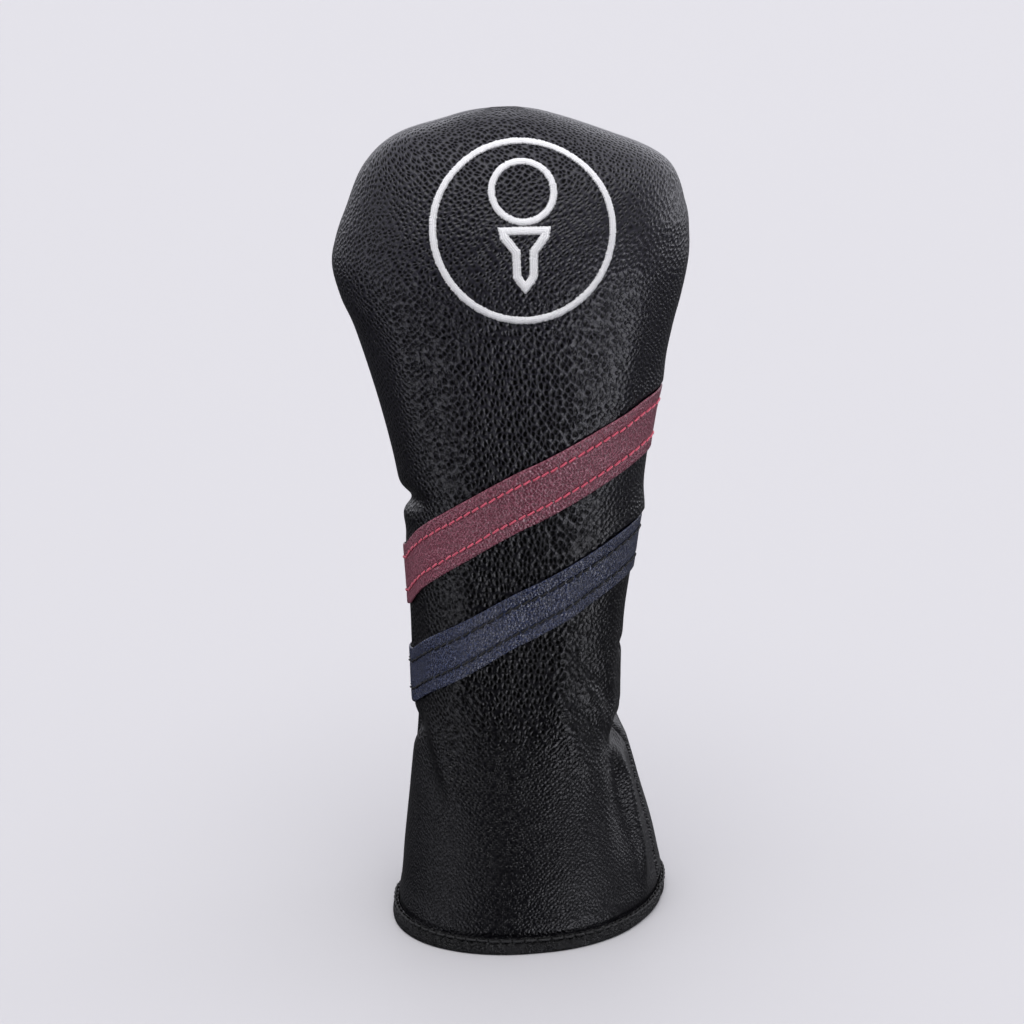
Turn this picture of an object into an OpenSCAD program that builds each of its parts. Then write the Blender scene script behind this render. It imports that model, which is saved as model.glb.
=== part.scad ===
// Driver head cover: a padded sock of pebbled leather that stands on its own bound mouth.
// Millimetres. +Z is up, the front faces -Y, and the origin is the mouth's centre on the plane it stands on.

/* [Outer form] */
// Height from the mouth to the top of the crown
cover_h = 325; // [300:1:345]
// Width of the head at its widest
head_w = 136; // [126:1:144]
// Depth of the head, front to back
head_d = 88; // [80:1:96]
// Width of the gathered neck
neck_w = 82; // [76:1:90]
// Depth of the gathered neck
neck_d = 64; // [58:1:72]
// Width of the open mouth
mouth_w = 118; // [110:1:122]
// Depth of the open mouth
mouth_d = 96; // [90:1:100]
// How far the head leans to its left
head_lean = 8; // [0:0.5:12]
// How far the soft mouth is pushed out of round, as a share of its size
mouth_skew = 0.12; // [0:0.01:0.12]
// How square a level section is, where 2 is an ellipse
roundness = 2.15; // [2:0.05:2.4]

/* [Layers] */
// Thickness of the outer leather
leather_t = 1.4; // [1:0.1:1.6]
// Thickness of the foam in the head
foam_t = 4; // [2:0.5:5]
// Thickness of the fleece lining
lining_t = 1.8; // [1.2:0.1:2.2]
// How far the side seams are turned, the right one forwards and the left one back, in degrees
seam_turn = 9; // [5:1:12]

/* [Neck elastic] */
// Height of the elastic's lower edge
elastic_z = 88; // [80:1:100]
// Width of the elastic
elastic_w = 30; // [20:1:36]

/* [Mouth binding] */
// Height of the folded strip that binds the mouth
binding_h = 6.4; // [5:0.2:8]
// Thickness of the binding strip
binding_t = 1.2; // [0.8:0.1:1.4]

/* [Stripes] */
// Width of the red stripe, measured upright
red_rise = 25; // [18:0.5:26]
// Width of the navy stripe, measured upright
navy_rise = 22.8; // [18:0.2:26]
// Thickness of a stripe
stripe_t = 1; // [0.8:0.1:1.2]
// Height of the red stripe's middle at the front
red_z = 183; // [176:1:190]
// Height of the navy stripe's middle at the front
navy_z = 133; // [126:1:140]
// Rise of the red stripe to the right, in millimetres a degree round the cover
red_slope = 0.5; // [0.36:0.01:0.54]
// Rise of the navy stripe to the right, in millimetres a degree round the cover
navy_slope = 0.46; // [0.36:0.01:0.5]
// Length of one stripe stitch
stitch_len = 3; // [2:0.2:4]

/* [Emblem] */
// Outer radius of the embroidered ring
ring_r = 34.5; // [28:0.5:36]
// Width of the satin stitching
satin_w = 2.6; // [2:0.1:3.2]
// Height of the satin stitching above the leather
satin_h = 0.8; // [0.6:0.1:1]
// Height of the emblem's centre before it follows the leather
emblem_z = 285; // [282:1:288]

/* [Hidden] */

leather_colour = [0.05, 0.05, 0.06];
foam_colour = [0.62, 0.63, 0.6];
fleece_colour = [0.16, 0.16, 0.17];
thread_colour = [0.08, 0.08, 0.09];
red_colour = [0.42, 0.14, 0.2];
red_thread_colour = [0.85, 0.25, 0.33];
navy_colour = [0.1, 0.13, 0.24];
embroidery_colour = [0.93, 0.93, 0.92];

head = [head_w / 2, head_d / 2];
neck = [neck_w / 2, neck_d / 2];
mouth = [mouth_w / 2, mouth_d / 2];

// The outer form from the mouth up: height, middle of the width, half width, front depth, back depth
FORM = [
    [0, 0.03 * head_lean, mouth[0], 1.027 * mouth[1], 0.975 * mouth[1]],
    [0.037 * cover_h, 0.12 * head_lean, 0.958 * mouth[0], 0.985 * mouth[1], 0.908 * mouth[1]],
    [0.092 * cover_h, -0.01 * head_lean, 0.902 * mouth[0], 0.927 * mouth[1], 0.867 * mouth[1]],
    [0.17 * cover_h, -0.29 * head_lean, 1.155 * neck[0], 1.206 * neck[1], 1.184 * neck[1]],
    [0.26 * cover_h, -0.575 * head_lean, 1.015 * neck[0], 1.05 * neck[1], 1.07 * neck[1]],
    [0.37 * cover_h, -0.58 * head_lean, 1.028 * neck[0], 0.97 * neck[1], neck[1]],
    [0.46 * cover_h, -0.45 * head_lean, 1.1 * neck[0], neck[1], 1.03 * neck[1]],
    [0.555 * cover_h, -0.4 * head_lean, 0.71 * head[0], 0.82 * head[1], 0.805 * head[1]],
    [0.645 * cover_h, -0.56 * head_lean, 0.787 * head[0], 0.93 * head[1], 0.875 * head[1]],
    [0.74 * cover_h, -0.75 * head_lean, 0.9 * head[0], 1.02 * head[1], 0.932 * head[1]],
    [0.82 * cover_h, -0.925 * head_lean, 1.005 * head[0], 1.045 * head[1], 0.955 * head[1]],
    [0.885 * cover_h, -0.675 * head_lean, 0.959 * head[0], 0.955 * head[1], 0.89 * head[1]],
    [0.935 * cover_h, -0.66 * head_lean, 0.851 * head[0], 0.77 * head[1], 0.735 * head[1]],
    [0.969 * cover_h, -1.25 * head_lean, 0.609 * head[0], 0.52 * head[1], 0.52 * head[1]],
    [0.991 * cover_h, -1.375 * head_lean, 0.294 * head[0], 0.27 * head[1], 0.27 * head[1]],
    [cover_h, -1.25 * head_lean, 0.088 * head[0], 0.2, 0.2]
];
form_end = len(FORM) - 1;
WIDEST = FORM[10];
skew_dir = 65;
skew_fade_h = 0.3 * cover_h;

// The height is sampled at every half station, and a level section every few degrees
ALL_LEVELS = [for (u = [0:0.5:form_end]) u];
turn_step = 9;
front_columns = 18;
back_columns = 22;

// The two panels meet with a small gap, and the joint between them runs back to the middle over the crown
FRONT = -1;
BACK = 1;
seam_gap = 0.3;
SEAM_SHIFT = [[0, seam_turn], [0.8 * cover_h, seam_turn], [0.985 * cover_h, 0], [cover_h, 0]];
right_seam = -seam_turn;
left_seam = 180 - seam_turn;

// Where each layer starts below the leather's face, as a height and a depth
HEM_FLOOR = binding_t + 0.4;
LEATHER_DEPTH = [[0, 0], [cover_h, 0]];
foam_depth = leather_t + 1.3;
in_hem = leather_t + 0.4;
under_leather = leather_t + 1.2;
under_elastic = leather_t + 1.9;
under_foam = foam_depth + foam_t + 0.4;
FOAM_DEPTH = [[0, foam_depth], [cover_h, foam_depth]];
LINING_DEPTH = [
    [0, in_hem], [0.03 * cover_h, in_hem], [0.06 * cover_h, under_leather],
    [0.2 * cover_h, under_leather], [0.25 * cover_h, under_elastic],
    [0.5 * cover_h, under_elastic], [0.58 * cover_h, under_foam], [cover_h, under_foam]
];
elastic_depth = leather_t + 0.4;
elastic_t = 1;

// Foam fills the head short of the seams and of the crown
foam_low = 0.59 * cover_h;
foam_high = 0.965 * cover_h;
foam_inset = 9;

// A stripe's height at the front, width, slope, bend and twist, and how far its left end droops
RED = [red_z, red_rise, red_slope, 0.001, 0.000021];
NAVY = [navy_z, navy_rise, navy_slope, 0.0005, 0.000022];
left_droop = 4;
droop_from = 220;
droop_span = 30;

// How far a stripe stands off the leather, its stitches' margin and its mesh
stripe_lift = 0.3;
stripe_margin = 5.7;
stripe_rows = 4;
stripe_columns = 36;

// Stitches: thread radius, clearance from the cloth, spacing and length
stitch_r = 0.3;
stitch_lift = 0.1;
stitch_pitch = 4;
degrees_a_mm = 1.22;
panel_stitch_pitch = 9;
panel_stitch_half = 2;
panel_stitch_first = 3;
panel_stitches_top = 0.93 * cover_h;
elastic_stitch_count = 30;
elastic_stitch_share = 0.7;
elastic_stitch_margin = 4;

// The binding: its stitches, and how far its legs stand off the leather and the lining
binding_stitches = 60;
binding_stitch_r = 0.42;
binding_stitch_share = 0.72;
binding_stitch_margin = 1.2;
binding_lift = 0.3;
inner_leg_lift = 0.22 * binding_h;

emblem_x = -0.85 * head_lean;
emblem_tilt = 20;
emblem_face_y = -0.75 * head[1];
satin_lift = 0.25;
ball_r = 12.5;
ball_rise = 13.5;
backing_r = 36;
backing_t = 0.4;

function fan(from, to, steps) = [for (i = [0:steps]) from + (to - from) * i / steps];
function unit(v) = v / norm(v);
function power(v, e) = sign(v) * pow(abs(v), e);
function seam_shift(u) = lookup(station(u)[0], SEAM_SHIFT);
function flip(faces) = [for (f = faces) [f[2], f[1], f[0]]];

// The outer form at a station number, on a curve through the rows of FORM
function station(u) =
    let (
        i = min(floor(u), form_end - 1), t = u - i, b = FORM[i], c = FORM[i + 1],
        a = i > 0 ? FORM[i - 1] : 2 * b - c,
        d = i + 2 <= form_end ? FORM[i + 2] : 2 * c - b
    )
    (2 * b + (c - a) * t + (2 * a - 5 * b + 4 * c - d) * t * t + (3 * b - a - 3 * c + d) * t * t * t) / 2;

STATION_AT = [for (i = [0:20 * form_end]) [station(i / 20)[0], i / 20]];
function level(z) = lookup(z, STATION_AT);

// A point of the leather's face, at a station number and a turn from +X
function skin(u, turn) =
    let (
        s = station(u),
        fade = max(0, 1 - s[0] / skew_fade_h),
        k = 1 + mouth_skew * fade * cos(2 * (turn - skew_dir)),
        depth = sin(turn) > 0 ? s[4] : s[3]
    )
    [k * (s[1] + s[2] * power(cos(turn), 2 / roundness)), k * depth * power(sin(turn), 2 / roundness), s[0]];

// The direction out of the cover: level up to the widest part of the head, and turning up over the crown
function outward(u, turn) =
    let (
        p = skin(u, turn), here = station(u), s = p[2] > WIDEST[0] ? WIDEST : here,
        depth = sin(turn) > 0 ? s[4] : s[3],
        rise = max(0, p[2] - WIDEST[0]) / pow(cover_h - WIDEST[0], 2)
    )
    unit([(p[0] - here[1]) / pow(s[2], 2), p[1] / pow(depth, 2), rise]);

// A point at a depth below the leather's face, or above it when the depth is negative
function layer(u, turn, depth) =
    let (p = skin(u, turn) - depth * outward(u, turn))
    [p[0], p[1], max(p[2], HEM_FLOOR)];

// Triangles of a closed slab: two faces of rows by columns of points, and the walls between them
function grid_faces(rows, cols, base) = [
    for (i = [0:rows - 2], j = [0:cols - 2])
    let (a = base + i * cols + j)
    each [[a, a + cols, a + cols + 1], [a, a + cols + 1, a + 1]]
];
function edge_faces(a, b, lift) = [[a, b, b + lift], [a, b + lift, a + lift]];
function slab_faces(rows, cols) =
    let (lift = rows * cols, top = (rows - 1) * cols)
    concat(
        grid_faces(rows, cols, 0),
        flip(grid_faces(rows, cols, lift)),
        [for (j = [0:cols - 2]) each edge_faces(j, j + 1, lift)],
        [for (j = [0:cols - 2]) each edge_faces(top + j + 1, top + j, lift)],
        [for (i = [0:rows - 2]) each edge_faces((i + 1) * cols, i * cols, lift)],
        [for (i = [0:rows - 2]) each edge_faces(i * cols + cols - 1, (i + 1) * cols + cols - 1, lift)]
    );

// Turns from one seam to the other across the front or the back, at a station number
function columns(u, side, steps, inset) =
    let (first = (side == FRONT ? 180 : 0) - seam_shift(u))
    fan(first + inset, first + 180 - inset, steps);

// A layer of the front or the back of the cover, from a depth table and a thickness
module slab(side, levels, steps, inset, depths, thickness) {
    points = [
        for (k = [0, 1], u = levels, turn = columns(u, side, steps, inset))
        layer(u, turn, lookup(station(u)[0], depths) + k * thickness)
    ];
    polyhedron(points, slab_faces(len(levels), steps + 1));
}

// A closed ring with a four-sided section, from its outer-low, outer-high, inner-high and inner-low rows
module four_sided_ring(rows) {
    n = len(rows[0]);
    faces = [
        for (k = [0:3], j = [0:n - 1])
        let (here = k * n, next = ((k + 1) % 4) * n, after = (j + 1) % n)
        each [
            [here + j, next + j, next + after],
            [here + j, next + after, here + after]
        ]
    ];
    polyhedron([for (row = rows) each row], faces);
}

// A straight stitch of thread between two points
module stitch(from, to, radius) {
    span = to - from;
    translate(from)
        rotate([0, acos(span[2] / norm(span)), atan2(span[1], span[0])])
        cylinder(h = norm(span), r = radius, $fn = 24);
}

module front_panel() {
    color(leather_colour) slab(FRONT, ALL_LEVELS, front_columns, seam_gap, LEATHER_DEPTH, leather_t);
}

module back_panel() {
    color(leather_colour) slab(BACK, ALL_LEVELS, back_columns, seam_gap, LEATHER_DEPTH, leather_t);
}

module foam_pad(side, steps) {
    levels = fan(level(foam_low), level(foam_high), 12);
    color(foam_colour) slab(side, levels, steps, foam_inset, FOAM_DEPTH, foam_t);
}

module front_foam() {
    foam_pad(FRONT, front_columns - 2);
}

module back_foam() {
    foam_pad(BACK, back_columns - 2);
}

module front_lining() {
    color(fleece_colour) slab(FRONT, ALL_LEVELS, front_columns, seam_gap, LINING_DEPTH, lining_t);
}

module back_lining() {
    color(fleece_colour) slab(BACK, ALL_LEVELS, back_columns, seam_gap, LINING_DEPTH, lining_t);
}

module neck_elastic() {
    turns = [for (turn = [0:turn_step:359]) turn];
    low = level(elastic_z);
    high = level(elastic_z + elastic_w);
    inner = elastic_depth + elastic_t;
    rows = [
        [for (turn = turns) layer(low, turn, elastic_depth)],
        [for (turn = turns) layer(high, turn, elastic_depth)],
        [for (turn = turns) layer(high, turn, inner)],
        [for (turn = turns) layer(low, turn, inner)]
    ];
    color(thread_colour) four_sided_ring(rows);
}

// Two rows of stitches on the lining's inner face, which hold the elastic
module elastic_stitches() {
    turn = 360 / elastic_stitch_count;
    depth = under_elastic + lining_t + 2 * stitch_r + stitch_lift;
    rows = [elastic_z + elastic_stitch_margin, elastic_z + elastic_w - elastic_stitch_margin];
    color(thread_colour)
        for (z = rows, i = [0:elastic_stitch_count - 1])
            stitch(
                layer(level(z), i * turn, depth),
                layer(level(z), (i + elastic_stitch_share) * turn, depth),
                stitch_r
            );
}

// The mouth's outline on the level of its lower edge, at a depth below the leather's face
function hem_outline(depth) = [for (turn = [0:5:355]) let (p = layer(0, turn, depth)) [p[0], p[1]]];

module hem_ring(from, to, height) {
    linear_extrude(height) difference() {
        polygon(hem_outline(from));
        polygon(hem_outline(to));
    }
}

// A folded strip: an outer leg, an inner leg and the flat fold that the cover stands on
module mouth_binding() {
    outer = -binding_lift - binding_t;
    inner = in_hem + lining_t + binding_lift + inner_leg_lift;
    color(leather_colour) {
        hem_ring(outer, inner + binding_t, binding_t);
        hem_ring(outer, -binding_lift, binding_h);
        hem_ring(inner, inner + binding_t, binding_h);
    }
}

module mouth_binding_stitches() {
    turn = 360 / binding_stitches;
    depth = -binding_lift - binding_t - stitch_lift - binding_stitch_r;
    rise = [0, 0, binding_h - binding_stitch_margin - HEM_FLOOR];
    color(thread_colour)
        for (i = [0:binding_stitches - 1])
            stitch(
                layer(0, i * turn, depth) + rise,
                layer(0, (i + binding_stitch_share) * turn, depth) + rise,
                binding_stitch_r
            );
}

// Short stitches across the joint between the panels, behind the leather
module panel_seam_stitches() {
    depth = leather_t + 2 * stitch_lift + stitch_r;
    last = floor(panel_stitches_top / panel_stitch_pitch);
    color(thread_colour)
        for (side = [-1, 1], i = [panel_stitch_first:last]) {
            u = level(i * panel_stitch_pitch);
            seam = 90 - side * 90 - seam_shift(u);
            middle = layer(u, seam, depth);
            across = unit(layer(u, seam + 1, depth) - layer(u, seam - 1, depth)) * panel_stitch_half;
            stitch(middle - across, middle + across, stitch_r);
        }
}

// Height of a line along a stripe, where share is -1 at the lower edge and 1 at the upper edge
function stripe_line(strip, turn, share) =
    let (
        q = turn - 270,
        droop = left_droop * pow(max(0, min(1, (droop_from - turn) / droop_span)), 2)
    )
    strip[0] + strip[2] * q - strip[3] * q * q - strip[4] * q * q * q - droop + share * strip[1] / 2;

module stripe(strip) {
    shares = fan(-1, 1, stripe_rows);
    turns = fan(left_seam + seam_gap, 360 + right_seam - seam_gap, stripe_columns);
    points = [
        for (k = [0, 1], share = shares, turn = turns)
        layer(level(stripe_line(strip, turn, share)), turn, k * stripe_t - stripe_lift - stripe_t)
    ];
    polyhedron(points, slab_faces(stripe_rows + 1, stripe_columns + 1));
}

// A row of stitches along a stripe, a margin in from its lower or upper edge
module stripe_stitches(strip, side) {
    share = side * (1 - 2 * stripe_margin / strip[1]);
    depth = -stripe_lift - stripe_t - stitch_lift - stitch_r;
    step = stitch_pitch * degrees_a_mm;
    reach = stitch_len * degrees_a_mm;
    for (turn = [left_seam + 2:step:360 + right_seam - 2 - reach])
        stitch(
            layer(level(stripe_line(strip, turn, share)), turn, depth),
            layer(level(stripe_line(strip, turn + reach, share)), turn + reach, depth),
            stitch_r
        );
}

module red_stripe() {
    color(red_colour) stripe(RED);
}

module navy_stripe() {
    color(navy_colour) stripe(NAVY);
}

module red_stitches_upper() {
    color(red_thread_colour) stripe_stitches(RED, 1);
}

module red_stitches_lower() {
    color(red_thread_colour) stripe_stitches(RED, -1);
}

module navy_stitches_upper() {
    color(thread_colour) stripe_stitches(NAVY, 1);
}

module navy_stitches_lower() {
    color(thread_colour) stripe_stitches(NAVY, -1);
}

// Depth of the front face at a height and a distance across
function face_y(x, z) =
    let (s = station(level(z)), k = min(1, abs((x - s[1]) / s[2])))
    -s[3] * pow(1 - pow(k, roundness), 1 / roundness);

// Height at which a drawing's point meets the face, when the drawing lies tilted back in front of it
function settled_z(x, b, z, rounds) =
    rounds == 0 ? z :
    let (gap = (emblem_face_y + b * sin(emblem_tilt) - face_y(x, z)) / cos(emblem_tilt))
    settled_z(x, b, emblem_z + b * cos(emblem_tilt) + gap * sin(emblem_tilt), rounds - 1);

// A point of the emblem's drawing, laid on the leather at a depth
function drawn(p, depth) =
    let (
        x = emblem_x + p[0],
        z = settled_z(x, p[1], emblem_z + p[1] * cos(emblem_tilt), 24),
        s = station(level(z)),
        turn = 360 - acos(power((x - s[1]) / s[2], roundness / 2))
    )
    layer(level(z), turn, depth);

function circle_points(radius, rise, count) =
    [for (i = [0:count - 1]) [radius * cos(-360 * i / count), rise + radius * sin(-360 * i / count)]];

// Each side of an outline cut into equal steps, so that it can follow the leather
function stepped(outline, steps) = [
    for (i = [0:len(outline) - 1], k = [0:steps - 1])
    outline[i] + (outline[(i + 1) % len(outline)] - outline[i]) * k / steps
];

// A right-hand outline, its point at the foot, and the same outline mirrored back up
function mirrored(half, foot) =
    concat(half, [[0, foot]], [for (i = [len(half) - 1:-1:0]) [-half[i][0], half[i][1]]]);

// A line of satin stitching between an outer and an inner outline, both clockwise
module satin(outer, inner) {
    low = -satin_lift;
    high = -satin_lift - satin_h;
    rows = [
        [for (p = outer) drawn(p, low)],
        [for (p = outer) drawn(p, high)],
        [for (p = inner) drawn(p, high)],
        [for (p = inner) drawn(p, low)]
    ];
    color(embroidery_colour) four_sided_ring(rows);
}

module emblem_ring() {
    satin(circle_points(ring_r, 0, 72), circle_points(ring_r - satin_w, 0, 72));
}

module emblem_ball() {
    satin(circle_points(ball_r, ball_rise, 40), circle_points(ball_r - satin_w, ball_rise, 40));
}

module emblem_tee() {
    outer = mirrored([[9.5, 0], [8.8, -4], [4.6, -9.5], [4.3, -18.5]], -24);
    inner = mirrored([[6.4, -2.5], [6, -3.3], [2, -8.5], [1.8, -17.6]], -20.2);
    satin(stepped(outer, 4), stepped(inner, 4));
}

// Woven backing behind the embroidery, between the leather and the foam
module emblem_backing() {
    spokes = 40;
    rings = [8, 16, 24, 30, backing_r];
    start = leather_t + 0.45;
    depths = [start, start + backing_t];
    places = concat([[0, 0]], [for (r = rings) each circle_points(r, 0, spokes)]);
    points = [for (depth = depths, p = places) drawn(p, depth)];
    lift = 1 + len(rings) * spokes;
    rim = 1 + (len(rings) - 1) * spokes;
    disc = concat(
        [for (j = [0:spokes - 1]) [0, 1 + j, 1 + (j + 1) % spokes]],
        [
            for (i = [0:len(rings) - 2], j = [0:spokes - 1])
            let (a = 1 + i * spokes + j, b = 1 + i * spokes + (j + 1) % spokes)
            each [[a, a + spokes, b + spokes], [a, b + spokes, b]]
        ]
    );
    back = [for (f = flip(disc)) [f[0] + lift, f[1] + lift, f[2] + lift]];
    wall = [for (j = [0:spokes - 1]) each edge_faces(rim + (j + 1) % spokes, rim + j, lift)];
    color(foam_colour) polyhedron(points, concat(disc, back, wall));
}

front_panel();
back_panel();
front_foam();
back_foam();
front_lining();
back_lining();
neck_elastic();
elastic_stitches();
mouth_binding();
mouth_binding_stitches();
panel_seam_stitches();
red_stripe();
red_stitches_upper();
red_stitches_lower();
navy_stripe();
navy_stitches_upper();
navy_stitches_lower();
emblem_ring();
emblem_ball();
emblem_tee();
emblem_backing();
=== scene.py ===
"""Driver head cover: its looks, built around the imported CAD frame. Design lengths are in millimetres."""

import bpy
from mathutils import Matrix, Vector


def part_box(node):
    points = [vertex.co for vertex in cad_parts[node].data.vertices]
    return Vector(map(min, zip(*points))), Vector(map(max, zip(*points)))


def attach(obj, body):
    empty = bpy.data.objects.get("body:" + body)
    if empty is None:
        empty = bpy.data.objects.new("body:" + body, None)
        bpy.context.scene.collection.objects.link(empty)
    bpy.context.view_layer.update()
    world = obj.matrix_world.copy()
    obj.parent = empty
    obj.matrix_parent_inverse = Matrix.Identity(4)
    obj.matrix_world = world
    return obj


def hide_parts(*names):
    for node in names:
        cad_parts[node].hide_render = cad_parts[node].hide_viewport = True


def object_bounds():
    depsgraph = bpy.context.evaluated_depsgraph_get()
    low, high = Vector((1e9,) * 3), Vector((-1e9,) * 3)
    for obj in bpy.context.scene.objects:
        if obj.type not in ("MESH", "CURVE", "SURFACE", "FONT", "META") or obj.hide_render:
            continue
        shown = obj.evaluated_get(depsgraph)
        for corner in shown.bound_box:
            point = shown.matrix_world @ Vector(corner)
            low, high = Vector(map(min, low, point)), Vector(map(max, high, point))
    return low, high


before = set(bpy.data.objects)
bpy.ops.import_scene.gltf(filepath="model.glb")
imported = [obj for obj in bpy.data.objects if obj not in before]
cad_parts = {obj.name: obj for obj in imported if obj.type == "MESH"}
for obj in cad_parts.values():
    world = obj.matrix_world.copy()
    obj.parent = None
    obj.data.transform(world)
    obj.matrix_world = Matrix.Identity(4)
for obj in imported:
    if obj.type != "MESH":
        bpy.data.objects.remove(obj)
cad_box = [list(corner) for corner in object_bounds()]

import math
from collections import namedtuple

import bpy
import numpy as np
from mathutils import Vector

# ---- sizes

DESIGN_H = 325.0
UNIT = cad_box[1][2] / DESIGN_H  # one design millimetre, in metres
BINDING_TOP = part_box("mouth_binding")[1].z / UNIT
ELASTIC_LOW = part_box("neck_elastic")[0].z / UNIT
ELASTIC_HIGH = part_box("neck_elastic")[1].z / UNIT
RING_LOW, RING_HIGH = [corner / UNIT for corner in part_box("emblem_ring")]
FOAM_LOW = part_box("front_foam")[0].z / UNIT
FOAM_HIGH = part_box("front_foam")[1].z / UNIT

# The outer form from the mouth up: height, reach to the left, right, front and back
FORM = np.array([
    [0, 58.9, 59.4, 49.3, 46.8],
    [12, 55.6, 57.5, 47.3, 43.6],
    [30, 53.3, 53.1, 44.5, 41.6],
    [55, 49.7, 45.0, 38.6, 37.9],
    [84.5, 46.2, 37.0, 33.6, 34.2],
    [120, 46.8, 37.5, 31.0, 32.0],
    [149.5, 48.7, 41.5, 32.0, 33.0],
    [180, 51.5, 45.1, 36.1, 35.5],
    [209.6, 58.0, 49.0, 40.9, 38.5],
    [240.5, 67.2, 55.2, 44.9, 41.0],
    [254, 72.8, 58.6, 45.8, 41.8],
    [266.5, 75.8, 61.0, 46.0, 42.0],
    [277, 74.2, 61.2, 44.6, 41.2],
    [287.6, 70.6, 59.8, 42.0, 39.2],
    [303.9, 63.2, 52.6, 33.9, 32.3],
    [314.9, 51.4, 31.4, 22.9, 22.9],
    [322, 31.0, 9.0, 11.9, 11.9],
    [325, 16.0, -4.0, 0.2, 0.2],
])
LAST = len(FORM) - 1
ROUNDNESS = 2.15  # power of the rounded outline: 2 is an ellipse
# The skirt is longer one way than the other: by how much, which way, and up to what height
SKEW, SKEW_TURN, SKEW_TOP = 0.12, 65.0, 97.0
CROWN_START = 266.5
# How far the seams are turned round the cover, and the heights between which that fades
SEAM_TURN, SEAM_FADE = 9.0, (260.0, 320.0)

LEATHER_T = 1.4
LINING_T = 1.8
FOAM_T = 4.0
HEM_FLOOR = 1.6  # height of the leather's lower edge, in the binding's fold


# ---- the outer form

def smooth(low, high, value):
    """0 below low, 1 above high, and an S-curve between."""
    share = np.clip((value - low) / (high - low), 0, 1)
    return share * share * (3 - 2 * share)


def station(u):
    """Rows of the form at station numbers, on a curve through FORM's rows."""
    u = np.asarray(u, float)
    i = np.clip(np.floor(u).astype(int), 0, LAST - 1)
    t = (u - i)[..., None]
    padded = np.vstack([2 * FORM[0] - FORM[1], FORM, 2 * FORM[-1] - FORM[-2]])
    a, b, c, d = (padded[i + k] for k in range(4))
    bend, twist = 2 * a - 5 * b + 4 * c - d, 3 * b - a - 3 * c + d
    return (2 * b + (c - a) * t + bend * t**2 + twist * t**3) / 2


STATION_U = np.linspace(0, LAST, 2000)
STATION_Z = station(STATION_U)[:, 0]
WIDEST = station(np.interp(CROWN_START, STATION_Z, STATION_U))


def level(z):
    """Station number at a height."""
    return np.interp(z, STATION_Z, STATION_U)


def power(value, exponent):
    """A power that keeps the sign."""
    return np.sign(value) * np.abs(value) ** exponent


def unit(vectors):
    """Vectors made one long."""
    return vectors / np.linalg.norm(vectors, axis=-1, keepdims=True)


def middle_and_half(rows):
    """The form's middle from left to right, and half its width, for rows of the form."""
    return (rows[..., 2] - rows[..., 1]) / 2, (rows[..., 2] + rows[..., 1]) / 2


def depth_at(rows, turn):
    """The form's reach to the front or to the back, whichever a turn faces."""
    return np.where(np.sin(np.radians(turn)) > 0, rows[..., 4], rows[..., 3])


def skin(u, turn):
    """Points of the plain form, with no folds, at station numbers and turns in degrees from +X."""
    s = station(u)
    a = np.radians(turn)
    fade = np.clip(1 - s[..., 0] / SKEW_TOP, 0, 1)
    k = 1 + SKEW * fade * np.cos(2 * (a - math.radians(SKEW_TURN)))
    middle, half = middle_and_half(s)
    x = k * (middle + half * power(np.cos(a), 2 / ROUNDNESS))
    y = k * depth_at(s, turn) * power(np.sin(a), 2 / ROUNDNESS)
    return np.stack(np.broadcast_arrays(x, y, s[..., 0]), -1)


def outward(u, turn):
    """Unit directions out of the cover: level up to the widest part, and turning up over the crown."""
    p = skin(u, turn)
    s = np.broadcast_to(station(u), p.shape[:-1] + (5,))
    size = np.where(s[..., :1] > CROWN_START, WIDEST, s)
    middle, half = middle_and_half(s)[0], middle_and_half(size)[1]
    depth = depth_at(size, turn)
    rise = np.maximum(0, s[..., 0] - CROWN_START) / (DESIGN_H - CROWN_START) ** 2
    return unit(np.stack([(p[..., 0] - middle) / half**2, p[..., 1] / depth**2, rise], -1))


def distance_along(points):
    """Distance of each point from the first, along the line through them."""
    steps = np.linalg.norm(np.diff(points, axis=0), axis=1)
    return np.concatenate([[0], np.cumsum(steps)])


def seam_shift(u):
    """How far the side seams are turned, the right one forwards and the left one back, in degrees."""
    return SEAM_TURN * (1 - smooth(*SEAM_FADE, station(u)[..., 0]))


def arc_of_degree(u, turn):
    """Distance round the form for one degree of turn."""
    return np.linalg.norm(skin(u, turn + 0.5) - skin(u, turn - 0.5), axis=-1)


def seam_distance(u, turn):
    """Distance round the cover to the nearer seam."""
    shift = seam_shift(u)
    to_right = np.abs((turn + shift + 180) % 360 - 180)
    to_left = np.abs((turn + shift) % 360 - 180)
    return np.minimum(to_right, to_left) * arc_of_degree(u, turn)


# ---- lines of the stripes

Stripe = namedtuple("Stripe", "middle rise slope bend twist")
RED = Stripe(183.0, 25.0, 0.50, 0.0010, 0.000021)
NAVY = Stripe(133.1, 22.8, 0.455, 0.0005, 0.000022)
STRIPE_T = 1.0
STRIPE_LIFT = 0.12
STRIPE_STANDS = 0.3  # how much further the upper edge stands off the leather at the right
STRIPE_MARGIN = 5.7  # from a stripe's edge to its stitches
STITCH_GROOVE = 0.3
LEFT_DROOP, DROOP_FROM, DROOP_SPAN = 4.0, 220, 30


def stripe_line(strip, turn, share):
    """Height of a line along a stripe, where share is -1 at the lower edge and 1 at the upper edge."""
    q = turn - 270
    droop = LEFT_DROOP * np.clip((DROOP_FROM - turn) / DROOP_SPAN, 0, 1) ** 2
    middle = strip.middle + strip.slope * q - strip.bend * q**2 - strip.twist * q**3 - droop
    return middle + share * strip.rise / 2


# ---- the emblem's place

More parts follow.
